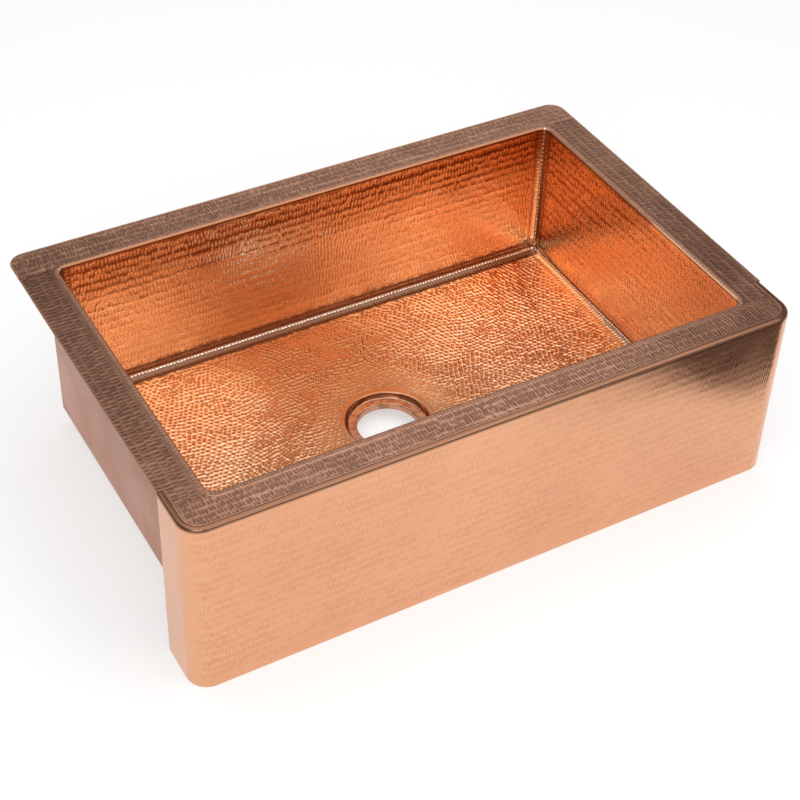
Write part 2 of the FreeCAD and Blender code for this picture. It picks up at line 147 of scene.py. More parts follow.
def courses(marks, u0, u1, v0, v1, pitch, row, depth, seed, brick=(1, 2), bed=0.0, lean=0.05,
            stray=0.04, wide=0.60, tall=0.53):
    """Rows of upright strokes, each brick a few strokes on a shallow bed with a ridge round it.

    pitch and row are the strokes' spacing, wide and tall their half sizes as shares of it, stray and
    lean how far they leave their row and the upright.
    """
    rng = np.random.default_rng(seed)
    for k in range(int((v1 - v0) / row) + 2):
        phase = rng.uniform(0, 6.28, 2)
        at, u, beds = u0 - rng.uniform(0, 4) * pitch, [], []
        while at < u1 + pitch:
            n = rng.integers(brick[0], brick[1])
            steps = pitch * rng.uniform(0.8, 1.22, n)
            own = at + np.cumsum(steps) - steps / 2
            u.extend(own)
            beds.append((at + steps.sum() / 2, steps.sum() / 2 + 0.3 * pitch))
            at += steps.sum() + (0.35 * pitch if n > 1 else 0)
        u = np.array(u)
        beds = np.array(beds)

        def level(x):
            wave = np.sin(x / 97.0 + phase[0]) + 0.6 * np.sin(x / 31.0 + phase[1])
            return v0 + k * row + 0.1 * row * wave + rng.normal(0, stray * row, len(x))

        if bed:
            marks.strike(beds[:, 0], level(beds[:, 0]), beds[:, 1], 0.56 * row,
                         bed * rng.uniform(0.4, 1.6, len(beds)), 0.0, 6.0)
        marks.strike(u, level(u), wide * pitch * rng.uniform(0.88, 1.12, len(u)),
                     tall * row * rng.uniform(0.9, 1.08, len(u)),
                     depth * rng.uniform(0.7, 1.2, len(u)), rng.normal(0, lean, len(u)), 4.0)


def smooth(x, a, b):
    """0 below a, 1 above b, and a smooth step between."""
    t = np.clip((x - a) / (b - a), 0, 1)
    return t * t * (3 - 2 * t)


def wobble(u, v, scale, seed):
    """Slow, smooth variation about 0, made of a few waves."""
    rng = np.random.default_rng(seed)
    total = 0
    for _ in range(6):
        angle, phase, k = rng.uniform(0, 6.28), rng.uniform(0, 6.28), rng.uniform(0.5, 1.6) / scale
        total = total + np.sin(2 * math.pi * k * (u * math.cos(angle) + v * math.sin(angle)) + phase)
    return total / 6


def ragged(run, pitch, size, seed):
    """A jagged edge: another random shift at every pitch."""
    knots = np.arange(-430, 430, pitch)
    return np.interp(run, knots, np.random.default_rng(seed).uniform(-size, size, len(knots)))


# ---- meshes
def add(name, data):
    """New object in the scene."""
    obj = bpy.data.objects.new(name, data)
    scene.collection.objects.link(obj)
    return obj


def new_mesh(name, points, quads, ngons, values, uv, sharp):
    """Closed piece from millimetre points. values are numbers per point, uv one pair per corner."""
    mesh = bpy.data.meshes.new(name)
    points = np.asarray(points, float).reshape(-1, 3) * MM
    mesh.vertices.add(len(points))
    mesh.vertices.foreach_set("co", points.ravel())
    loops = join([quads.ravel()] + [np.asarray(n) for n in ngons]).astype(np.int32)
    sizes = join([np.full(len(quads), 4)] + [[len(n)] for n in ngons])
    starts = join([[0], np.cumsum(sizes)[:-1]])
    mesh.loops.add(len(loops))
    mesh.loops.foreach_set("vertex_index", loops)
    mesh.polygons.add(len(sizes))
    mesh.polygons.foreach_set("loop_start", starts.astype(np.int32))
    mesh.polygons.foreach_set("use_smooth", np.ones(len(sizes), bool))
    mesh.update(calc_edges=True)
    for key, numbers in values.items():
        layer = mesh.attributes.new(key, "FLOAT", "POINT")
        layer.data.foreach_set("value", np.asarray(numbers, np.float32).ravel())
    layer = mesh.uv_layers.new(name="OFBake")
    spare = np.zeros((len(loops) - len(uv), 2)) + 0.002
    layer.data.foreach_set("uv", join([uv, spare]).astype(np.float32).ravel())
    mesh.set_sharp_from_angle(angle=math.radians(sharp))
    return add(name, mesh)


def quads_of(i, flip=False):
    """Faces of a grid of point numbers."""
    q = np.stack([i[:-1, :-1], i[:-1, 1:], i[1:, 1:], i[1:, :-1]], -1).reshape(-1, 4)
    return q[:, ::-1] if flip else q


def band_uv(rows, cols, low, high, flip=False):
    """Corners of a grid's faces, spread over a band of the unit square."""
    u = np.broadcast_to(np.linspace(0.01, 0.99, cols), (rows, cols))
    v = np.broadcast_to(np.linspace(low, high, rows)[:, None], (rows, cols))
    place = np.stack([u, v], -1).reshape(-1, 2)
    return place[quads_of(np.arange(rows * cols).reshape(rows, cols), flip)].reshape(-1, 2)


def shell(name, front, back, values):
    """Closed sheet: a fine front grid and a back grid with the same columns and fewer rows."""
    rows, cols = front.shape[:2]
    low = back.shape[0]
    f = np.arange(rows * cols).reshape(rows, cols)
    b = np.arange(low * cols).reshape(low, cols) + rows * cols
    joints = [np.stack([b[0], f[0]]), np.stack([f[-1], b[-1]])]
    quads = [quads_of(f), quads_of(b, True)] + [quads_of(j) for j in joints]
    uv = [band_uv(rows, cols, 0.07, 0.99), band_uv(low, cols, 0.03, 0.06, True)]
    uv += [band_uv(2, cols, 0.010, 0.014), band_uv(2, cols, 0.020, 0.024)]
    ends = [join([b[:, 0][::-1], f[:, 0]]), join([f[::-1, -1], b[:, -1]])]
    filled = {k: join([v.ravel(), np.zeros(low * cols)]) for k, v in values.items()}
    points = join([front.reshape(-1, 3), back.reshape(-1, 3)])
    return new_mesh(name, points, join(quads), ends, filled, join(uv), 40)


def bar(name, section, values, sharp=50):
    """Closed bar: every row of the grid is one line along it, and the rows go round its section."""
    rows, cols = section.shape[:2]
    i = np.arange(rows * cols).reshape(rows, cols)
    i = join([i, i[:1]])
    ends = [i[:-1, 0], i[:-1, -1][::-1]]
    uv = band_uv(rows + 1, cols, 0.01, 0.99)
    return new_mesh(name, section.reshape(-1, 3), quads_of(i), ends, values, uv, sharp)


def spaced(a, b, step):
    return np.linspace(a, b, max(int(round(abs(b - a) / step)), 1) + 1)


# ---- basin walls
SIDES = {
    "front": ((-1, 0), (0, -1), COVE_X, COVE_Y),
    "back": ((1, 0), (0, 1), COVE_X, COVE_Y),
    "left": ((0, 1), (-1, 0), COVE_Y, COVE_X),
    "right": ((0, -1), (1, 0), COVE_Y, COVE_X),
}  # tangent, outward, half straight, distance
COVE_REACH = math.radians(37.8)  # how far a sheet follows its cove, to the root gap


def wall_grid(side, row_step, offset):
    """Points and inward normals of a wall's face, offset outwards from the basin face.

    Columns run along the wall with its two corner arcs, rows from the floor cove up to the lip.
    """
    tangent, outward, straight, distance = SIDES[side]
    corner = np.linspace(0, 1, 9)[1:]
    s = spaced(-straight, straight, 1.0)
    place = join([np.full(len(corner), -straight), s, np.full(len(corner), straight)])
    share = join([-corner[::-1], np.zeros(len(s)), corner])
    cove = np.linspace(1, 0, 8)[:-1]
    up = spaced(COVE_Z, TOP - LIP_ROUND, row_step)
    bend = np.radians(np.linspace(0, 90, 7)[1:])
    flat = spaced(LIP_ROUND, LIP_WIDTH, 1.5)[1:]
    shape = len(cove) + len(up) + len(bend) + len(flat), len(share)
    radius, height, length = np.full(shape, COVE + offset), np.zeros(shape), np.zeros(shape[0])
    n_out, n_up = -np.ones(shape), np.zeros(shape)
    on_cove, on_lip = slice(0, len(cove)), slice(-len(flat) - len(bend), -len(flat))
    on_wall, on_flat = slice(len(cove), on_lip.start), slice(-len(flat), None)
    above = slice(len(cove), None)

    # beside a bead the sheet ends half a root gap from the seam's middle plane
    half_gap = BEAD_GAP / 2
    ratio = half_gap * math.sqrt(2) / COVE
    turn = np.abs(share)[None] * COVE_REACH * np.ones(shape)
    for _ in range(6):
        a = np.cos(turn[on_cove])
        steep = cove[:, None] * (np.arccos(ratio / np.sqrt(a * a + 1)) - np.arctan(1 / a))
        radius[on_cove] = (COVE + offset) * np.cos(steep)
        limit = np.arccos(np.clip(half_gap / radius[on_cove], 0, 1)) - math.pi / 4
        turn[on_cove] = np.abs(share)[None] * limit
    height[on_cove] = COVE_Z - (COVE + offset) * np.sin(steep)
    n_out[on_cove], n_up[on_cove] = -np.cos(steep), np.sin(steep)
    length[on_cove] = -COVE * cove * COVE_REACH

    height[on_wall], length[on_wall] = up[:, None], up - COVE_Z
    outer = LIP_ROUND - offset
    radius[on_lip] = COVE + LIP_ROUND - outer * np.cos(bend)[:, None]
    height[on_lip] = TOP - LIP_ROUND + outer * np.sin(bend)[:, None]
    n_out[on_lip], n_up[on_lip] = -np.cos(bend)[:, None], np.sin(bend)[:, None]
    length[on_lip] = up[-1] - COVE_Z + LIP_ROUND * bend
    radius[on_flat], height[on_flat] = COVE + flat[:, None], TOP - offset
    n_out[on_flat], n_up[on_flat] = 0, 1
    length[on_flat] = length[on_lip][-1] + flat - LIP_ROUND
    turn[above] = np.abs(share)[None] * (np.arccos(np.clip(half_gap / radius[above], 0, 1)) - math.pi / 4)

    turn = turn * np.sign(share)[None]
    t, o = np.array(tangent, float), np.array(outward, float)
    direction = o * np.cos(turn)[..., None] + t * np.sin(turn)[..., None]
    plan = t * place[None, :, None] + o * distance + direction * radius[..., None]
    points = join([plan, height[..., None]], -1)
    normals = join([direction * n_out[..., None], n_up[..., None]], -1)
    along = place[None] + turn * COVE
    return points, normals, along, np.broadcast_to(length[:, None], along.shape)


def basin_wall(side, seed):
    """Hammered wall: courses of upright marks, and short ticks along its seams."""
    straight = SIDES[side][2]
    points, normals, s, t = wall_grid(side, 1.6, 0.0)
    back = wall_grid(side, 80.0, SHEET)[0]
    rise = TOP - LIP_ROUND - COVE_Z
    left, right = -straight - 12, straight + 12
    marks, fine, ticks, brim = (Marks(left, -10, right, rise + 12) for _ in range(4))
    courses(marks, left, right, 6, rise - 3, WALL_PITCH, WALL_ROW, WALL_DEPTH, seed, lean=0.08,
            stray=0.09, wide=0.50, tall=0.52)
    courses(fine, left, right, 8, rise - 6, 2.5, 12.0, 0.06, seed + 7)
    marks.soften(1)
    courses(ticks, left, right, 1, 6, 4.6, 7.0, 0.45, seed + 9, wide=0.42)
    for end in (-1, 1):
        k = np.arange(4, rise - 4, 5.6)
        rng = np.random.default_rng(seed + 20 + end)
        ticks.strike(end * (straight + rng.uniform(0.5, 2.5, len(k))), k + rng.normal(0, 0.5, len(k)),
                     rng.uniform(3.0, 4.8, len(k)), rng.uniform(1.6, 2.4, len(k)), TICK_DEPTH)
    brim_pitch = 3.9 if side in ("front", "back") else 5.4
    courses(brim, left, right, rise + 8, rise + 9, brim_pitch, 20.0, BRIM_DEPTH, seed + 15, wide=0.5)

    struck, ticked = marks.at(s, t), ticks.at(s, t)
    on_brim = brim.at(s, t) * smooth(t, rise + 4, rise + 5)
    fade = smooth(t, 5, 12) * (1 - smooth(t, rise - 5, rise + 1))
    fade = fade * (1 - smooth(np.abs(s), straight - 7, straight - 1))
    depth = (struck + fine.at(s, t)) * fade * (1 + 0.35 * wobble(s, t, 90, seed + 3))
    depth = depth + ticked * (1 - smooth(t, rise - 8, rise))
    depth = depth + 0.25 * (1 + wobble(s, t, 70, seed)) * fade + on_brim
    edge = (t < t[0, 0] + 0.01) | (t > rise + LIP_ROUND * math.pi / 2)
    depth = np.where(edge, np.minimum(depth, 0.05), depth)
    # the foot of the wall gets weld scale and painted shade
    values = {"dent": np.clip(struck / WALL_DEPTH * fade + 1.2 * ticked + 3.5 * on_brim, 0, 1),
              "lip": smooth(t, rise + 3.4, rise + 4.6),
              "seam_scale_and_shade": SEAM_SCALING_AND_SHADE[side] * (1 - smooth(t + ragged(s, 3.6, 2.5, seed), 3, 9)),
              "high": wall_top_shade(side, s, t, seed)}
    return shell("hammered_wall_" + side, points - normals * depth[..., None], back, values)


def wall_top_shade(side, s, t, seed):
    """Painted shade high on each wall, and a painted dark reflection over the back upper corner of the
    right one.
    """
    high = WALL_TOP_SHADE_SHARE[side] * smooth(t + 16 * wobble(s, t, 120, seed + 5), 112, 178)
    if side != "right":
        return high
    past = t - 0.76 * (s + SIDES[side][2]) + 5 * wobble(s, t, 40, 3)
    return np.maximum(high, 0.95 * smooth(past, -8, 22))


# ---- basin floor
DRAIN = np.array([DRAIN_X, DRAIN_Y])
FLOOR_AREA = (-366, -228, 366, 228)
GRID_X, GRID_Y, BLOCK = 684, 420, 184  # the face's cells each way, and those that the dish takes up
OUTLINE_STEP, SPOKE_STEP = 12, 4  # fine edges to one coarse edge of the back, outside and inside


def cove_limit(d):
    """How far the floor goes into a cove, to its root gap, for a distance d into the cove beside it."""
    gap = BEAD_GAP / math.sqrt(2)
    return (np.sqrt(2 * (COVE * COVE - d * d) - gap * gap) - gap) / 2


def floor_height(x, y):
    """Height of the floor's face outside the drain, without its hammer marks."""
    dx = np.clip(np.abs(x) - COVE_X, 0, None)
    dy = np.clip(np.abs(y) - COVE_Y, 0, None)
    cove = COVE_Z - np.sqrt(np.clip(COVE ** 2 - dx ** 2 - dy ** 2, 0, None))
    px, py = x - DRAIN_X, y - DRAIN_Y
    away = np.hypot(px, py)
    half_x = COVE_X - BAND - np.where(px > 0, DRAIN_X, -DRAIN_X)
    reach = np.minimum(*(half / np.maximum(np.abs(d) / np.maximum(away, 1e-6), 1e-6)
                         for half, d in ((half_x, px), (COVE_Y - BAND, py))))
    share = np.clip((away - RING_R) / np.maximum(reach - RING_R, 1), 0, 1)
    return np.where(share < 1, DISH_Z + (FLOOR_Z - DISH_Z) * share, cove)


def floor_marks():
    """Round marks in swirling rows."""
    rng = np.random.default_rng(5)
    marks = Marks(*FLOOR_AREA)
    gx, gy = np.meshgrid(np.arange(-480, 480, FLOOR_PITCH), np.arange(-380, 380, FLOOR_PITCH * 0.87))
    gx = gx + (np.arange(gx.shape[0]) % 2)[:, None] * FLOOR_PITCH / 2

    def swirl(grid, scale, seed):
        slow = 24 * wobble(gx, gy, scale, seed) + 4.5 * wobble(gx, gy, 65, seed + 1)
        return grid + slow + rng.normal(0, 0.62, grid.shape)

    x, y = swirl(gx, 300, 31), swirl(gy, 280, 33)
    inside = (np.abs(x) < 362) & (np.abs(y) < 224) & (np.hypot(x - DRAIN_X, y - DRAIN_Y) > 60)
    x, y = x[inside], y[inside]
    size = rng.uniform(3.0, 3.8, len(x))
    marks.strike(x, y, size, size * rng.uniform(0.9, 1.1, len(x)),
                 FLOOR_DEPTH * rng.uniform(0.85, 1.1, len(x)), rng.uniform(0, 3.1, len(x)))
    marks.soften(2)
    return marks


def floor_ticks():
    """Short marks square to the seams, along all four coves."""
    rng = np.random.default_rng(6)
    marks = Marks(*FLOOR_AREA)
    for sign in (-1, 1):
        x = np.arange(-356, 356, TICK_PITCH)
        marks.strike(x + rng.normal(0, 0.4, len(x)), sign * (COVE_Y + 1 + rng.uniform(-1.5, 1, len(x))),
                     rng.uniform(1.6, 2.2, len(x)), rng.uniform(3.6, 5.6, len(x)), FLOOR_TICK_DEPTH)
        y = np.arange(-216, 216, TICK_PITCH)
        marks.strike(sign * (COVE_X + 1 + rng.uniform(-1.5, 1, len(y))), y + rng.normal(0, 0.4, len(y)),
                     rng.uniform(3.6, 5.6, len(y)), rng.uniform(1.6, 2.2, len(y)), FLOOR_TICK_DEPTH)
    return marks


def floor_grid():
    """Plan of the floor's grid. Its outer cells reach into the coves, up to the root gaps."""
    u = np.linspace(-1, 1, GRID_X + 1)[None, :] + np.zeros((GRID_Y + 1, 1))
    v = np.linspace(-1, 1, GRID_Y + 1)[:, None] + np.zeros((1, GRID_X + 1))
    lim = cove_limit(0.0)
    x, y = u * (COVE_X + lim), v * (COVE_Y + lim)
    share_x = np.clip((np.abs(x) - COVE_X) / lim, 0, 1)
    share_y = np.clip((np.abs(y) - COVE_Y) / lim, 0, 1)
    dx, dy = share_x * lim, share_y * lim
    for _ in range(8):
        dx, dy = share_x * cove_limit(dy), share_y * cove_limit(dx)
    x = np.where(share_x > 0, np.sign(x) * (COVE_X + dx), x)
    y = np.where(share_y > 0, np.sign(y) * (COVE_Y + dy), y)
    return x, y


def basin_floor():
    """Hammered floor with its drain recess, and a coarse back that closes it."""
    x, y = floor_grid()
    index = np.arange(x.size).reshape(x.shape)
    reach = COVE_X + cove_limit(0.0)
    i0 = int(round((DRAIN_X + reach) / (2 * reach) * GRID_X)) - BLOCK // 2
    j0 = GRID_Y // 2 - BLOCK // 2
    open_cells = np.ones((GRID_Y, GRID_X), bool)
    open_cells[j0:j0 + BLOCK, i0:i0 + BLOCK] = False
    quads = quads_of(index).reshape(GRID_Y, GRID_X, 4)[open_cells]
    ring = ring_of(index[j0:j0 + BLOCK + 1, i0:i0 + BLOCK + 1])
    outline = ring_of(index)
    n = len(ring)

    # from the block's edge to the ring round the recess, and down through the drain
    flat = np.stack([x.ravel(), y.ravel()], -1)
    edge = flat[ring]
    angle = np.arctan2(edge[:, 1] - DRAIN_Y, edge[:, 0] - DRAIN_X)
    around = np.stack([np.cos(angle), np.sin(angle)], -1)
    share = np.linspace(0, 1, 37)[1:, None, None]
    dish = edge * (1 - share) + (DRAIN + RING_R * around) * share
    dish_z = floor_height(dish[..., 0], dish[..., 1])
    dish_z[-1] = DISH_Z
    radius, height = drain_profile()
    hole = DRAIN + radius[:, None, None] * around
    hole_z = np.broadcast_to(height[:, None, None], (len(height), n, 1))
    points = join([
        join([flat, floor_height(x, y).reshape(-1, 1)], 1),
        join([dish, dish_z[..., None]], -1).reshape(-1, 3),
        join([hole, hole_z], -1).reshape(-1, 3),
    ])
    rows = len(dish) + len(hole)
    polar = join([ring[None], index.size + np.arange(rows * n).reshape(rows, n)])
    quads = join([quads, quads_of(join([polar, polar[:, :1]], 1), True)])
    where = join([flat, dish.reshape(-1, 2), flat_drain(around, height, radius)])
    uv_point = np.stack([(where[:, 0] + 370) / 740, (where[:, 1] + 232) / 464], -1) * 0.96 + 0.03
    uv = uv_point[quads].reshape(-1, 2)

    depth, marks = floor_depth(points)
    depth[outline] = 0
    x, y = points[:, 0], points[:, 1]
    seat = 1 - smooth(np.hypot(x - DRAIN_X, y - DRAIN_Y), RECESS_R - 2, RECESS_R + 1.5)
    values = {"dent": np.clip(marks / FLOOR_DEPTH, 0, 1), "seam_scale_and_shade": floor_seam_scale_and_shade(x, y), "seat": seat,
              "floor_shade": floor_shade_mask(x, y)}

    back, rings = floor_back(points, outline, around[::SPOKE_STEP])
    spare = np.zeros(len(back))
    values = {key: join([numbers, spare]) for key, numbers in values.items()}
    b = len(points) + np.arange(len(back)).reshape(rings, -1)
    quads = join([quads, quads_of(join([b, b[:, :1]], 1))])
    ngons = []
    for k in range(b.shape[1]):
        m = (k + 1) % b.shape[1]
        fine = [outline[(k * OUTLINE_STEP + q) % len(outline)] for q in range(OUTLINE_STEP + 1)]
        ngons.append(np.array([b[0, k]] + fine + [b[0, m]])[::-1])
        fine = [polar[-1, (k * SPOKE_STEP + q) % n] for q in range(SPOKE_STEP + 1)]
        ngons.append(np.array([b[-1, k]] + fine + [b[-1, m]]))
    points = join([points - floor_normals(points) * depth[:, None], back])
    return new_mesh("hammered_floor", points, quads, ngons, values, uv, 55)


def floor_seam_scale_and_shade(x, y):
    """Brown along the seams, part weld scale and part painted shade, darkest at the back one, with a ragged
    edge.
    """
    total = np.zeros_like(x)
    seams = (("back", COVE_Y - y, x), ("front", COVE_Y + y, x),
             ("right", COVE_X - x, y), ("left", COVE_X + x, y))
    for k, (side, gap, run) in enumerate(seams):
        scale = 1 - smooth(gap + ragged(run, 3.7, 2.2, 90 + k), 2, 8)
        total = np.maximum(total, SEAM_SCALING_AND_SHADE[side] * scale)
    return total


def floor_shade_mask(x, y):
    """Painted shade: where the floor is painted darker, across the middle, its right front corner and its
    front.
    """
    middle = np.exp(-((x + 10 + 0.25 * y) / 150) ** 2)
    corner = 0.8 * smooth(x - 0.8 * y, 300, 450)
    front = 0.5 * smooth(-y, 20, 190)
    return np.clip(np.maximum(middle, corner) + front + 0.2 * wobble(x, y, 130, 55), 0, 1)


def ring_of(index):
    """Point numbers round the outside of a grid, anticlockwise from its first corner."""
    return join([index[0, :-1], index[:-1, -1], index[-1, :0:-1], index[:0:-1, 0]])


def drain_profile():
    """Radius and height, down the recess's shoulder to the seat and over the hole's edge to the foot."""
    slope = math.atan2(DISH_Z - SEAT_Z, RECESS_R - SEAT_R)
    turn, edge = np.linspace(0, slope, 6), np.linspace(0.3, 1.57, 5)
    top = RECESS_R + SHOULDER * math.tan(slope / 2)
    bevel = BORE + HOLE_BEVEL
    runs = (
        (np.linspace(RING_R, top, 3)[1:-1], [DISH_Z]),
        (top - SHOULDER * np.sin(turn), DISH_Z - SHOULDER * (1 - np.cos(turn))),
        ([SEAT_R + 0.5, SEAT_R - 0.3], [SEAT_Z + 0.6, SEAT_Z]),
        (np.linspace(SEAT_R - 1.5, bevel, 8), np.full(8, SEAT_Z)),
        (BORE + HOLE_BEVEL * (1 - np.sin(edge)), SEAT_Z - HOLE_BEVEL * (1 - np.cos(edge))),
        (np.full(4, BORE), np.linspace(SEAT_Z - HOLE_BEVEL - 1, COLLAR_Z, 4)),
    )
    return tuple(join(column) for column in zip(*runs))


def flat_drain(around, height, radius):
    """Where the drain's points lie on the flat colour map."""
    run = join([[0], np.cumsum(np.hypot(np.diff(radius), np.diff(height)))])
    shrunk = (RING_R - 1 - run)[:, None, None] * around
    return (DRAIN + shrunk).reshape(-1, 2)


def floor_normals(points):
    """Roughly square to the face: up on the floor, towards the cove's centre line at its edges."""
    inward = np.zeros_like(points)
    plan = points[:, :2]
    inward[:, :2] = -np.sign(plan) * np.clip(np.abs(plan) - (COVE_X, COVE_Y), 0, None)
    inward[:, 2] = np.sqrt(np.clip(COVE ** 2 - inward[:, 0] ** 2 - inward[:, 1] ** 2, 1, None))
    return inward / np.linalg.norm(inward, axis=1, keepdims=True)


def floor_depth(points):
    """How deep the hammer goes at each point of the floor."""
    x, y = points[:, 0], points[:, 1]
    away = np.hypot(x - DRAIN_X, y - DRAIN_Y)
    rim = np.minimum(COVE_X - np.abs(x), COVE_Y - np.abs(y)) + 2.0 * wobble(x, y, 40, 44)
    field = smooth(rim, 1, 9) * smooth(away, RING_R, RING_R + 5)
    near = 0.45 + 0.55 * smooth(away, 70, 130)
    marks = floor_marks().at(x, y) * field * near * (1 + 0.15 * wobble(x, y, 120, 41))
    ticks = floor_ticks().at(x, y) * smooth(away, RING_R, RING_R + 5)
    return marks + ticks + 0.15 * (1 + wobble(x, y, 80, 42)) * field, marks + 1.8 * ticks


def floor_back(points, outline, spokes):
    """Rings of the hidden back, a sheet's thickness below the face."""
    edge = points[outline[::OUTLINE_STEP]]
    flat = np.clip(edge[:, :2], [-COVE_X, -COVE_Y], [COVE_X, COVE_Y])
    band = np.clip(edge[:, :2], [BAND - COVE_X, BAND - COVE_Y], [COVE_X - BAND, COVE_Y - BAND])
    rings = [edge - floor_normals(edge) * SHEET]
    circles = (RING_R + 2, DISH_Z), (RECESS_R + 2, DISH_Z), (SEAT_R + 2, SEAT_Z), (BORE + SHEET, SEAT_Z)
    under = [(flat, FLOOR_Z), (band, FLOOR_Z)] + [(DRAIN + r * spokes, z) for r, z in circles]
    foot = DRAIN + (BORE + SHEET) * spokes
    for place, z in [(plan, z - SHEET - 0.6) for plan, z in under] + [(foot, COLLAR_Z)]:
        rings.append(join([place, np.full((len(place), 1), z)], 1))
    return join(rings), len(rings)


# ---- rim strips
LONG_CELLS = 1250  # cells along the straight of the front and back strips


def arc(cx, cy, r, a0, a1, n):
    """Points on an arc, angles in degrees."""
    a = np.radians(np.linspace(a0, a1, n))
    return np.stack([cx + r * np.cos(a), cy + r * np.sin(a)], -1)


def line(p, q, n):
    """Points from p to q, without the last."""
    return np.linspace(p, q, n, endpoint=False)


def long_strip_paths(outer_x, outer_y, outer_r, inset):
    """Outer and inner edges of the back strip, from its right butt end to its left one."""
    cx, cy = outer_x - outer_r, outer_y - outer_r
    r = outer_r - inset
    seam = RIM_SEAM_Y + BUTT
    x, y = outer_x - inset, outer_y - inset
    inner_r = COVE + RIM_IN
    rise = math.degrees(math.asin((seam - COVE_Y) / inner_r))
    inner_y = COVE_Y + inner_r
    outer = join([
        line((x, seam), (x, cy), 18), arc(cx, cy, r, 0, 90, 30)[:-1], line((cx, y), (-cx, y), LONG_CELLS),
        arc(-cx, cy, r, 90, 180, 30)[:-1], line((-x, cy), (-x, seam), 18), [(-x, seam)]])
    inner = join([
        arc(COVE_X, COVE_Y, inner_r, rise, 90, 48)[:-1],
        line((COVE_X, inner_y), (-COVE_X, inner_y), LONG_CELLS),
        arc(-COVE_X, COVE_Y, inner_r, 90, 180 - rise, 48)])
    return outer, inner


def side_strip_paths(inset):
    """Outer and inner edges of the right strip, from its front butt end to its back one."""
    seam = RIM_SEAM_Y - BUTT
    y = join([np.linspace(-seam, RETURN_Y, 25), np.linspace(RETURN_Y + 0.06, seam, 560)])
    outer_x = np.where(y > RETURN_Y, HALF_L, HALF_L - RIM_INSET) - inset
    past = np.clip(np.abs(y) - COVE_Y, 0, None)
    inner_x = COVE_X + np.sqrt((COVE + RIM_IN) ** 2 - past ** 2)
    return np.stack([outer_x, y], -1), np.stack([inner_x, y], -1)


def strip(side, paths, turn, marks, fade_inner, seed):
    """Hammered flat strip from its outer to its inner edge, with a softened outer edge."""
    soft_edge = (0.0, TOP - 0.6), (0.06, TOP - 0.3), (0.25, TOP - 0.08), (0.6, TOP)
    share = np.linspace(0, 1, 42)
    out, inner = (path * turn for path in paths(0.0))

    def level(plan, z):
        return join([plan, np.full((len(plan), 1), z)], 1)

    start = paths(soft_edge[-1][0])[0] * turn
    rows = [level(paths(d)[0] * turn, z) for d, z in soft_edge]
    rows += [level(start * (1 - k) + inner * k, TOP) for k in share[1:]]
    front = np.array(rows)
    back = np.array([level(out * (1 - k) + inner * k, TOP - RIM_THICK) for k in (0, 0.5, 1)])
    x, y = front[..., 0], front[..., 1]
    width = np.linalg.norm(start - inner, axis=1)[None]
    t = join([np.zeros(len(soft_edge) - 1), share])[:, None]
    gap_out, gap_in = t * width, (1 - t) * width
    depth = marks.at(x, y) * (1 - fade_inner * (1 - smooth(gap_in, 1, 9)))
    depth = depth + 0.12 * (1 + wobble(x, y, 60, seed))
    depth = depth * (smooth(gap_out, 0.0, 2.0) * smooth(gap_in, -0.4, 0.9))
    front[..., 2] -= depth
    # painted shade, more towards the right front corner
    rim_shade = RIM_SHADE[side] + 0.6 * smooth(x - y, 330, 640)
    values = {"dent": np.clip(depth / RIM_DEPTH, 0, 1), "worn": 1 - smooth(gap_out, 0.3, 1.5),
              "rim_shade": np.clip(rim_shade, 0, 1)}
    if turn[0] * turn[1] > 0:
        front, back = front[:, ::-1], back[:, ::-1]
        values = {k: v[:, ::-1] for k, v in values.items()}
    return shell("hammered_rim_" + side, front, back, values)


def rims():
    """The four strips, keyed by side."""
    long_marks, side_marks = (Marks(-422, -282, 422, 282) for _ in range(2))
    turned = Marks(-282, -422, 282, 422)
    for low, high, seed in ((232, 281, 61), (-279, -233, 62)):
        courses(long_marks, -419, 419, low, high, LONG_PITCH, LONG_ROW, RIM_DEPTH, seed, (1, 5), 0.10,
                stray=0.10, wide=0.55)
    for low, high, seed in ((379, 418, 63), (-415, -380, 64)):
        courses(turned, -232, 232, low, high, SIDE_PITCH, SIDE_ROW, RIM_DEPTH, seed, (1, 4), 0.10,
                stray=0.08, wide=0.55)
    side_marks.data = turned.data.T.copy()

    def back_paths(inset):
        return long_strip_paths(HALF_L, HALF_W, BACK_R, inset)

    def front_paths(inset):
        return long_strip_paths(HALF_L - RIM_INSET, HALF_W - RIM_INSET, APRON_R - RIM_INSET, inset)

    strips = (("back", back_paths, (1, 1), long_marks, 0.1),
              ("front", front_paths, (1, -1), long_marks, 0.1),
              ("right", side_strip_paths, (1, 1), side_marks, 0.0),
              ("left", side_strip_paths, (-1, 1), side_marks, 0.7))
    return {side: strip(side, paths, np.array(turn), marks, fade_inner, 71 + k)
            for k, (side, paths, turn, marks, fade_inner) in enumerate(strips)}


# ---- apron
def apron_plan():
    """Arc centres, outward directions and run of the apron, from its left return to its right one."""
    x, y, end = HALF_L - APRON_R, -HALF_W + APRON_R, RETURN_Y - 1.0
    place = join([line((-x, end), (-x, y), 17), np.repeat([(-x, y)], 31, 0),
                            line((-x, y), (x, y), 1000), np.repeat([(x, y)], 31, 0),
                            line((x, y), (x, end), 17), [(x, end)]])
    a = np.radians(join([np.full(17, 180.0), np.linspace(180, 270, 31), np.full(1000, 270.0),
                                   np.linspace(270, 360, 31), np.full(18, 360.0)]))
    out = np.stack([np.cos(a), np.sin(a)], -1)
    steps = np.linalg.norm(np.diff(place + out * APRON_R, axis=0), axis=1)
    return place, out, join([[0], np.cumsum(steps)])


def quarter(radius, angle):
    """Points of the fold's bend: how far out from the apron's face, and how high."""
    return np.stack([-APRON_FOLD + radius * np.cos(angle), TOP - APRON_FOLD + radius * np.sin(angle)], -1)


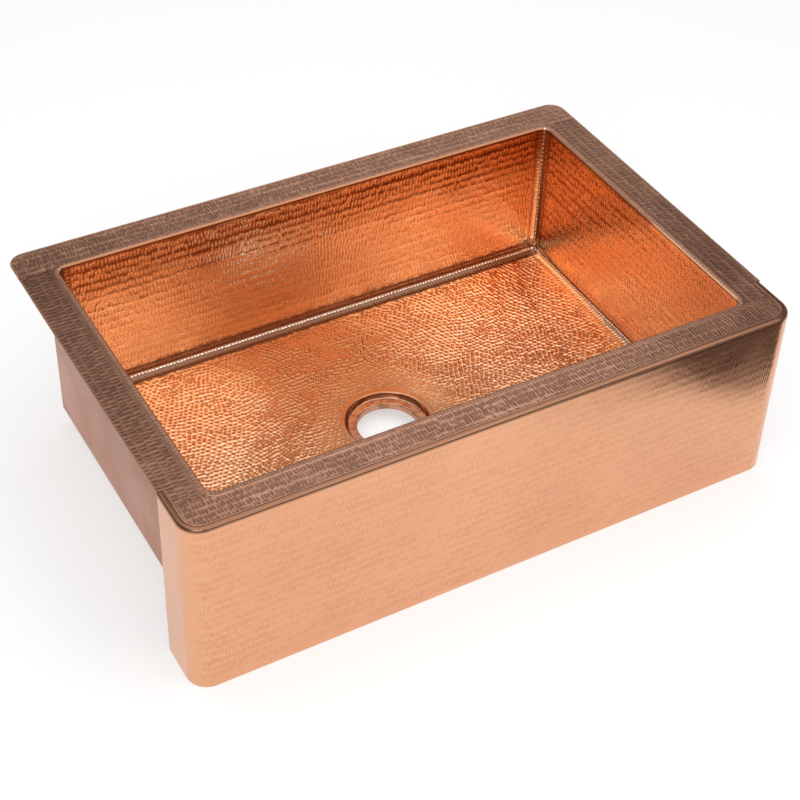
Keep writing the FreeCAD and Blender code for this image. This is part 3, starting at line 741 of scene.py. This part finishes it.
def apron():
    """One sheet: fold, face with faint marks, rounded corners, returns and turned-in hem."""
    place, out, run = apron_plan()
    turn, inner_turn = np.radians(np.linspace(90, 0, 9)), np.radians(np.linspace(0, 90, 5))
    face = np.linspace(TOP - APRON_FOLD, HEM_BEVEL, 116)[1:]
    first, last = len(turn) + 1, len(turn) + 1 + len(face)
    profile = join([
        [(-APRON_LIP, TOP)], quarter(APRON_FOLD, turn), np.stack([np.zeros(len(face)), face], -1),
        [(-0.25, 0.25), (-HEM_BEVEL, 0), (-6, 0), (-APRON_HEM, 0), (-APRON_HEM, SHEET), (-SHEET - 1, SHEET),
         (-SHEET, SHEET + 1), (-SHEET, 130)],
        quarter(APRON_FOLD - SHEET, inner_turn), [(-APRON_LIP, TOP - SHEET)],
    ])
    o, z = profile[:, :1], profile[:, 1:]
    xy = place[None] + out[None] * (APRON_R + o)[..., None]
    s, h = np.broadcast_arrays(run[None], z)
    section = join([xy, h[..., None]], -1)
    marks = Marks(0, -5, run[-1], 262)
    courses(marks, 52, run[-1] - 52, 8, 252, APRON_PITCH, APRON_ROW, APRON_DEPTH, 81, stray=0.10,
            wide=0.38, tall=0.44)
    on_face = np.zeros(s.shape)
    on_face[first:last] = 1
    patch = np.clip(0.8 + 0.5 * wobble(s, h, 130, 82) + 0.5 * wobble(s, h, 35, 83), 0.1, 1.6)
    near = smooth(s, 56, 82) * (1 - smooth(s, run[-1] - 82, run[-1] - 56))
    struck = marks.at(s, h) * (on_face * near * smooth(h, 4, 12) * (1 - smooth(h, 248, 255))) * patch
    swell = 0.14 * (1 + wobble(s, h, 110, 84)) * smooth(h, 2, 30) * (1 - smooth(h, 225, 254))
    bend = np.zeros(s.shape)
    bend[1:first] = 0.16 * (1 + wobble(s[1:first], np.zeros((first - 1, len(run))), 60, 85))
    section[..., :2] -= out[None] * (struck + swell * on_face + bend * (h < TOP - 0.5))[..., None]
    roll = smooth(h, TOP - 6.0, TOP - 3.5) * (np.arange(len(h)) < first + 3)[:, None]
    values = {"fold": roll, "mark": struck / APRON_DEPTH}
    return bar("apron_sheet", section[::-1], {k: v[::-1].ravel() for k, v in values.items()})


# ---- weld beads
def bead(name, path, normal, crown, seed, half=1.85, coarse=1.0):
    """Planished bead along a path. normal points into the basin; crown is its height at each point.

    half is half its width, and coarse widens the spacing of the hammer's marks along it.
    """
    rng = np.random.default_rng(seed)
    along = np.gradient(path, axis=0)
    along /= np.linalg.norm(along, axis=1, keepdims=True)
    across = np.cross(along, normal)
    across /= np.linalg.norm(across, axis=1, keepdims=True)
    run = join([[0], np.cumsum(np.linalg.norm(np.diff(path, axis=0), axis=1))])
    knots = np.cumsum(coarse * rng.uniform(1.9, 3.2, int(run[-1] / 1.9) + 4))
    high, low = rng.uniform(0.6, 1.0, len(knots)), rng.uniform(0, 0.2, len(knots))
    pulse = np.interp(run, knots, np.where(np.arange(len(knots)) % 2, high, low))
    pulse = np.convolve(np.pad(pulse, 1, "edge"), [0.2, 0.6, 0.2], "valid")
    height = crown * (0.1 + 0.9 * pulse)
    width = half * (0.86 + 0.14 * pulse)
    shift = np.interp(run, knots[::3], rng.uniform(-0.5, 0.5, len(knots[::3])))
    a = np.array([-1, -0.9, -0.62, -0.32, 0, 0.32, 0.62, 0.9, 1])[:, None]
    lean = width[None] * a + shift[None] * (1 - a ** 2)
    up = height[None] * (1 - np.abs(a) ** 2.2) - 0.25 * (np.abs(a) == 1) + 0.02
    top = path[None] + across[None] * lean[..., None] + normal[None] * up[..., None]
    low = [path - across * half * 0.5 * side - normal * (SHEET - 0.2) for side in (-1, 1)]
    section = join([top, np.array(low)])
    # painted highlight: near-white along the bead's crowns, darker brown between and beside them
    glint = join([pulse[None] * (1 - np.abs(a)) ** 0.6, np.zeros((2, len(run)))])
    return bar(name, section[::-1], {"dent": 1 - glint[::-1].ravel()}, 60)


def great_arc(centre, p, q, n):
    """Points and inward normals on the cove's ball, from direction p to direction q."""
    p, q = np.array(p, float), np.array(q, float)
    p, q = p / np.linalg.norm(p), q / np.linalg.norm(q)
    angle = math.acos(np.clip(p @ q, -1, 1))
    s = np.linspace(0, 1, n)[:, None]
    d = (np.sin((1 - s) * angle) * p + np.sin(s * angle) * q) / math.sin(angle)
    return np.array(centre) + COVE * d, -d


def floor_bead(side, seed):
    """Bead along the foot of one wall, ending in the two three-way corners."""
    tangent, outward, straight, distance = SIDES[side]
    t, o = np.array([*tangent, 0.0]), np.array([*outward, 0.0])
    down = np.array([0, 0, -1.0])
    base = o * distance - down * COVE_Z
    parts = [great_arc(t * end * straight + base, t * end + o + down, o + down, 9) for end in (-1, 1)]
    s = np.linspace(-straight, straight, int(straight * 2 / 0.5))[1:-1, None]
    d = (o + down) / math.sqrt(2)
    middle = t * s + base + COVE * d
    path = join([parts[0][0], middle, parts[1][0][::-1]])
    normal = join([parts[0][1], np.broadcast_to(-d, middle.shape), parts[1][1][::-1]])
    return bead("seam_floor_" + side, path, normal, np.full(len(path), BEAD_CROWN), seed)


def corner_bead(sx, sy, corner, seed):
    """Upright bead from a three-way corner up to the lip, where it is dressed flush."""
    foot, up = np.array([sx * COVE_X, sy * COVE_Y, 0.0]), np.array([0, 0, 1.0])
    low, low_n = great_arc(foot + COVE_Z * up, (sx, sy, -1), (sx, sy, 0), 10)
    d = np.array([sx, sy, 0]) / math.sqrt(2)
    mid = foot + COVE * d + np.linspace(COVE_Z, TOP - LIP_ROUND, 330)[1:, None] * up
    turn = np.radians(np.linspace(0, 90, 9))[1:, None]
    lip_centre = foot + (TOP - LIP_ROUND) * up + (COVE + LIP_ROUND) * d
    lip_n = -d * np.cos(turn) + up * np.sin(turn)
    lip = lip_centre + LIP_ROUND * lip_n
    flat = lip[-1] + d * np.array([[1.0], [2.0], [2.9]])
    path = join([low, mid, lip, flat])
    normal = join([low_n, np.broadcast_to(-d, mid.shape), lip_n, np.broadcast_to(up, flat.shape)])
    crown = BEAD_CROWN * (1 - smooth(path[:, 2], TOP - 20, TOP - 7))
    crown = np.where(path[:, 2] > TOP - 7, -0.2, crown)
    return bead("seam_corner_" + corner, path, normal, crown, seed, 1.6, 1.25)


# ---- materials
class Nodes:
    """Short hand for building the nodes of a material or a world."""

    def __init__(self, name, kind=bpy.data.materials):
        self.material = kind.new(name)
        self.material.use_nodes = True
        self.tree = self.material.node_tree
        self.tree.nodes.clear()
        self.coords = self.new("ShaderNodeTexCoord")
        self.place = self.coords.outputs["Object"]

    def new(self, kind, **settings):
        node = self.tree.nodes.new(kind)
        for key, value in settings.items():
            setattr(node, key, value)
        return node

    def link(self, value, socket):
        if isinstance(value, bpy.types.NodeSocket):
            self.tree.links.new(value, socket)
        else:
            socket.default_value = value

    def number(self, name):
        return self.new("ShaderNodeAttribute", attribute_name=name).outputs["Fac"]

    def noise(self, scale, detail=3.0, rough=0.55):
        node = self.new("ShaderNodeTexNoise")
        for key, number in (("Scale", scale), ("Detail", detail), ("Roughness", rough)):
            node.inputs[key].default_value = number
        self.link(self.place, node.inputs["Vector"])
        return node.outputs["Fac"]

    def span(self, value, a, b, c=0.0, d=1.0):
        """value between a and b, turned into c to d, with smooth ends."""
        node = self.new("ShaderNodeMapRange", interpolation_type="SMOOTHSTEP")
        self.link(value, node.inputs["Value"])
        for key, number in zip(("From Min", "From Max", "To Min", "To Max"), (a, b, c, d)):
            node.inputs[key].default_value = number
        return node.outputs["Result"]

    def patches(self, scale, a, b, c=0.0, d=1.0, detail=3.0):
        """Noise between a and b, turned into c to d."""
        return self.span(self.noise(scale, detail), a, b, c, d)

    def rough(self, scale, low, high):
        """Roughness that drifts from low to high."""
        return self.patches(scale, 0.3, 0.7, low, high)

    def by(self, name, a, b, share=1.0):
        """A mesh attribute between a and b, turned into 0 to share."""
        return self.span(self.number(name), a, b, 0.0, share)

    def mix(self, share, a, b):
        node = self.new("ShaderNodeMix", data_type="RGBA")
        self.link(share, node.inputs["Factor"])
        for colour, socket in ((a, node.inputs[6]), (b, node.inputs[7])):
            self.link((*colour, 1.0) if isinstance(colour, tuple) else colour, socket)
        return node.outputs[2]

    def maths(self, operation, a, b):
        node = self.new("ShaderNodeMath", operation=operation)
        self.link(a, node.inputs[0])
        self.link(b, node.inputs[1])
        return node.outputs[0]

    def metal(self, colour, roughness, grain=0.00002):
        """Metal with a fine grain in its surface, grain metres deep."""
        shader = self.new("ShaderNodeBsdfPrincipled")
        shader.inputs["Metallic"].default_value = 1.0
        self.link(colour, shader.inputs["Base Color"])
        self.link(roughness, shader.inputs["Roughness"])
        bump = self.new("ShaderNodeBump")
        bump.inputs["Distance"].default_value = grain
        self.link(self.noise(700.0, 4.0, 0.6), bump.inputs["Height"])
        self.link(bump.outputs["Normal"], shader.inputs["Normal"])
        output = self.new("ShaderNodeOutputMaterial")
        self.link(shader.outputs["BSDF"], output.inputs["Surface"])
        return self.material


BRIGHT, WARM = (1.0, 0.66, 0.41), (0.94, 0.53, 0.32)
WALL_TOP_SHADE, STAIN_AND_SHADE, SCALE_AND_SHADE = (0.40, 0.155, 0.065), (0.42, 0.20, 0.12), (0.15, 0.07, 0.042)
WALL_DENT, FLOOR_DENT, FLOOR_SHADE = (0.93, 0.50, 0.27), (0.43, 0.16, 0.068), (0.42, 0.168, 0.068)
SEAT_LIGHT, SEAT_DARK = (0.56, 0.29, 0.19), (0.34, 0.165, 0.10)
BRIM_RIDGE, BRIM_DENT = (0.50, 0.265, 0.175), (0.29, 0.14, 0.088)
BEAD_GLINT, BEAD_FOOT = (1.0, 0.93, 0.84), (0.40, 0.18, 0.10)
RIM_RIDGE, RIM_BROWN, RIM_PIT = (0.62, 0.335, 0.225), (0.43, 0.225, 0.148), (0.19, 0.09, 0.057)
SALMON, SALMON_DEEP = (0.81, 0.42, 0.245), (0.77, 0.39, 0.225)
APRON_DENT, FOLD_BROWN = (0.60, 0.27, 0.14), (0.30, 0.145, 0.085)
PINK, PINK_DEEP = (0.54, 0.272, 0.182), (0.50, 0.255, 0.175)
CASING_SPOT, CASING_TOP_SHADE = (0.36, 0.19, 0.14), (0.30, 0.155, 0.105)
SOLDER, SOLDER_DARK = (0.16, 0.08, 0.05), (0.05, 0.027, 0.02)
JOINT_DARK = (0.30, 0.15, 0.095)


def basin_copper():
    n = Nodes("basin_copper")
    tone = n.mix(n.patches(9.0, 0.35, 0.7), BRIGHT, WARM)
    # painted shade high on the walls, and a painted dark reflection on the right wall
    tone = n.mix(n.number("high"), tone, WALL_TOP_SHADE)
    tone = n.mix(n.by("dent", 0.1, 0.7, 0.85), tone, WALL_DENT)
    tone = n.mix(n.patches(4.0, 0.58, 0.78, 0.0, 0.1, 4.0), tone, STAIN_AND_SHADE)
    # weld scale and painted shade along the wall's foot
    tone = n.mix(n.by("seam_scale_and_shade", 0, 1, 0.9), tone, STAIN_AND_SHADE)
    brim = n.mix(n.by("dent", 0.1, 0.9), BRIM_RIDGE, BRIM_DENT)
    tone = n.mix(n.number("lip"), tone, brim)
    return n.metal(tone, n.maths("ADD", n.rough(14.0, 0.13, 0.21), n.by("lip", 0, 1, 0.15)))


def floor_copper():
    n = Nodes("floor_copper")
    tone = n.mix(n.patches(7.0, 0.35, 0.7), BRIGHT, WARM)
    # painted shade across the middle, right front corner and front of the floor
    tone = n.mix(n.by("floor_shade", 0, 1, 0.9), tone, FLOOR_SHADE)
    tone = n.mix(n.by("dent", 0.3, 0.72, 0.9), tone, FLOOR_DENT)
    # weld scale and painted shade along the floor's seams
    tone = n.mix(n.by("seam_scale_and_shade", 0, 1, 0.9), tone, SCALE_AND_SHADE)
    seat = n.mix(n.patches(110.0, 0.45, 0.62), SEAT_LIGHT, SEAT_DARK)
    tone = n.mix(n.by("seat", 0, 1, 0.8), tone, seat)
    return n.metal(tone, n.rough(11.0, 0.14, 0.24))


def weld_copper():
    n = Nodes("weld_copper")
    # painted highlight on the bead's crowns
    tone = n.mix(n.by("dent", 0.35, 0.85), BEAD_GLINT, BEAD_FOOT)
    return n.metal(tone, n.rough(60.0, 0.17, 0.28))


def rim_patina():
    n = Nodes("rim_patina")
    tone = n.mix(n.by("dent", 0.1, 0.6), RIM_RIDGE, RIM_BROWN)
    tone = n.mix(n.by("dent", 0.55, 1.1, 0.75), tone, RIM_PIT)
    # painted shade on the side strips and towards the right front
    tone = n.mix(n.by("rim_shade", 0.0, 1.0, 0.78), tone, RIM_PIT)
    tone = n.mix(n.patches(22.0, 0.45, 0.7, 0.0, 0.35, 4.0), tone, RIM_BROWN)
    tone = n.mix(n.by("worn", 0.2, 1.0, 0.6), tone, RIM_BROWN)
    return n.metal(tone, n.rough(35.0, 0.28, 0.40), 0.00003)


def apron_copper():
    n = Nodes("apron_copper")
    tone = n.mix(n.patches(5.0, 0.35, 0.7), SALMON, SALMON_DEEP)
    tone = n.mix(n.by("mark", 0.1, 0.8, 0.5), tone, APRON_DENT)
    tone = n.mix(n.number("fold"), tone, FOLD_BROWN)
    return n.metal(tone, n.rough(8.0, 0.20, 0.28))


def casing_copper():
    n = Nodes("casing_copper")
    tone = n.mix(n.patches(10.0, 0.35, 0.7, detail=4.0), PINK, PINK_DEEP)
    tone = n.mix(n.patches(90.0, 0.6, 0.75, 0.0, 0.3, 5.0), tone, CASING_SPOT)
    # painted shade: the casing darker towards its top, under the rim
    split = n.new("ShaderNodeSeparateXYZ")
    n.link(n.place, split.inputs[0])
    tone = n.mix(n.span(split.outputs["Z"], 0.06, 0.22, 0.0, 0.85), tone, CASING_TOP_SHADE)
    return n.metal(tone, n.rough(12.0, 0.36, 0.48), 0.00003)


def joint_copper(name, scale, detail, low, high, tones, rough, grain=0.00002):
    """A plain seam: two tones in fine patches."""
    n = Nodes(name)
    tone = n.mix(n.patches(scale, low, high, detail=detail), *tones)
    return n.metal(tone, n.rough(60.0, *rough), grain)


# ---- stage
def plane(name, corners, material):
    """Flat stage piece through its corners (metres)."""
    mesh = bpy.data.meshes.new(name)
    mesh.from_pydata(corners, [], [list(range(len(corners)))])
    mesh.materials.append(material)
    obj = add(name, mesh)
    return obj


def floor_material():
    """White floor that keeps the object's shadow."""
    n = Nodes("studio_floor")
    shader = n.new("ShaderNodeBsdfDiffuse")
    shader.inputs["Color"].default_value = (FLOOR_TONE, FLOOR_TONE, FLOOR_TONE, 1)
    glow = n.new("ShaderNodeEmission")
    rays = n.new("ShaderNodeLightPath")
    seen = n.maths("ADD", rays.outputs["Is Camera Ray"], rays.outputs["Is Glossy Ray"])
    seen = n.maths("ADD", seen, rays.outputs["Is Transmission Ray"])
    n.link(n.maths("MULTIPLY", seen, FLOOR_GLOW), glow.inputs["Strength"])
    both = n.new("ShaderNodeAddShader")
    n.link(shader.outputs[0], both.inputs[0])
    n.link(glow.outputs[0], both.inputs[1])
    n.link(both.outputs[0], n.new("ShaderNodeOutputMaterial").inputs["Surface"])
    return n.material


def card_material():
    """Matt dark card, seen only in reflections: a painted dark reflection on the apron's top right."""
    n = Nodes("studio_card")
    shader = n.new("ShaderNodeBsdfDiffuse")
    n.link(n.mix(n.noise(3.0), (0.05, 0.035, 0.03), (0.08, 0.06, 0.05)), shader.inputs["Color"])
    n.link(shader.outputs[0], n.new("ShaderNodeOutputMaterial").inputs["Surface"])
    return n.material


def studio():
    """Floor, soft world and softboxes."""
    ground = [(12.0 * x, 12.0 * y, 0) for x, y in ((-1, -1), (1, -1), (1, 1), (-1, 1))]
    plane("studio_ground", ground, floor_material())
    card = plane("studio_card", [(*p, 0.002) for p in CARD], card_material())
    # seen only in reflections, as a painted dark reflection on the apron
    card.visible_camera = card.visible_diffuse = card.visible_shadow = False
    n = Nodes("studio_world", bpy.data.worlds)
    scene.world = n.material
    split, ramp = n.new("ShaderNodeSeparateXYZ"), n.new("ShaderNodeValToRGB")
    tone = n.new("ShaderNodeBackground")
    n.link(n.coords.outputs["Generated"], split.inputs[0])
    n.link(split.outputs["Z"], ramp.inputs["Fac"])
    stops = ramp.color_ramp.elements
    for k, (at, level) in enumerate(WORLD_LEVELS):
        stop = stops[k] if k < 2 else stops.new(at)
        stop.position, stop.color = at, (level, level, level, 1)
    n.link(ramp.outputs["Color"], tone.inputs["Color"])
    n.link(tone.outputs[0], n.new("ShaderNodeOutputWorld").inputs["Surface"])
    for name, place, aim, width, depth, power in SOFTBOXES:
        lamp = bpy.data.lights.new(name, "AREA")
        lamp.shape = "RECTANGLE"
        lamp.size, lamp.size_y, lamp.energy = width, depth, power
        obj = add(name, lamp)
        obj.location = place
        obj.rotation_euler = (Vector(aim) - Vector(place)).to_track_quat("-Z", "Y").to_euler()


def camera():
    """Camera at the photograph's viewing angle: its place, and its right, up and back directions."""
    data = bpy.data.cameras.new("camera")
    data.sensor_width, data.lens, data.clip_end = 36.0, 80.117, 100
    data.shift_x, data.shift_y = -0.0375, -0.0525
    obj = add("camera", data)
    place = (-0.905811, -1.540490, 1.639642)
    right, up = (0.86538238, -0.49962941, 0.03852013), (0.29575583, 0.57128988, 0.76560849)
    away = (-0.40452668, -0.65115154, 0.6421525)
    obj.matrix_world = Matrix([*zip(right, up, away, place), (0, 0, 0, 1)])
    scene.camera = obj


# ---- build
CORNERS = ((-1, -1, "front_left"), (1, -1, "front_right"), (-1, 1, "back_left"), (1, 1, "back_right"))


def dress(obj, node, material):
    """Put a new piece in place of a CAD node."""
    obj.data.materials.append(material)
    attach(obj, "root")
    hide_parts(node)


def keep(nodes, material):
    """Give carried-over CAD nodes their material."""
    for node in nodes:
        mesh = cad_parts[node].data
        mesh.materials.clear()
        mesh.materials.append(material)


def main():
    camera()
    studio()
    wall_metal, floor_metal, weld_metal = basin_copper(), floor_copper(), weld_copper()
    rim_metal = rim_patina()
    for k, side in enumerate(SIDES):
        dress(basin_wall(side, 10 + 3 * k), "basin_wall_" + side, wall_metal)
        dress(floor_bead(side, 40 + k), "floor_weld_" + side, weld_metal)
    for k, (sx, sy, corner) in enumerate(CORNERS):
        dress(corner_bead(sx, sy, corner, 50 + k), "corner_weld_" + corner, weld_metal)
    dress(basin_floor(), "basin_floor", floor_metal)
    for side, piece in rims().items():
        dress(piece, "rim_" + side, rim_metal)
    dress(apron(), "apron_skin", apron_copper())
    keep(["casing_wrap", "casing_front_panel", "casing_pan"], casing_copper())
    bright = joint_copper("bright_joint", 420.0, 2.0, 0.42, 0.58, (RIM_BROWN, JOINT_DARK), (0.22, 0.34))
    keep(["casing_weld_left", "casing_weld_right", "pan_seam_weld", "casing_rim_weld",
          "drain_collar_weld", "lip_seam_weld"], bright)
    brown = joint_copper("seam_patina", 160.0, 4.0, 0.35, 0.65, (RIM_BROWN, RIM_PIT), (0.30, 0.42), 0.00004)
    keep(["rim_weld_" + corner for *_, corner in CORNERS], brown)
    dark = joint_copper("dark_joint", 120.0, 4.0, 0.35, 0.65, (SOLDER, SOLDER_DARK), (0.32, 0.45))
    keep(["apron_seam_solder"], dark)
    scene.view_settings.view_transform = "Standard"


main()
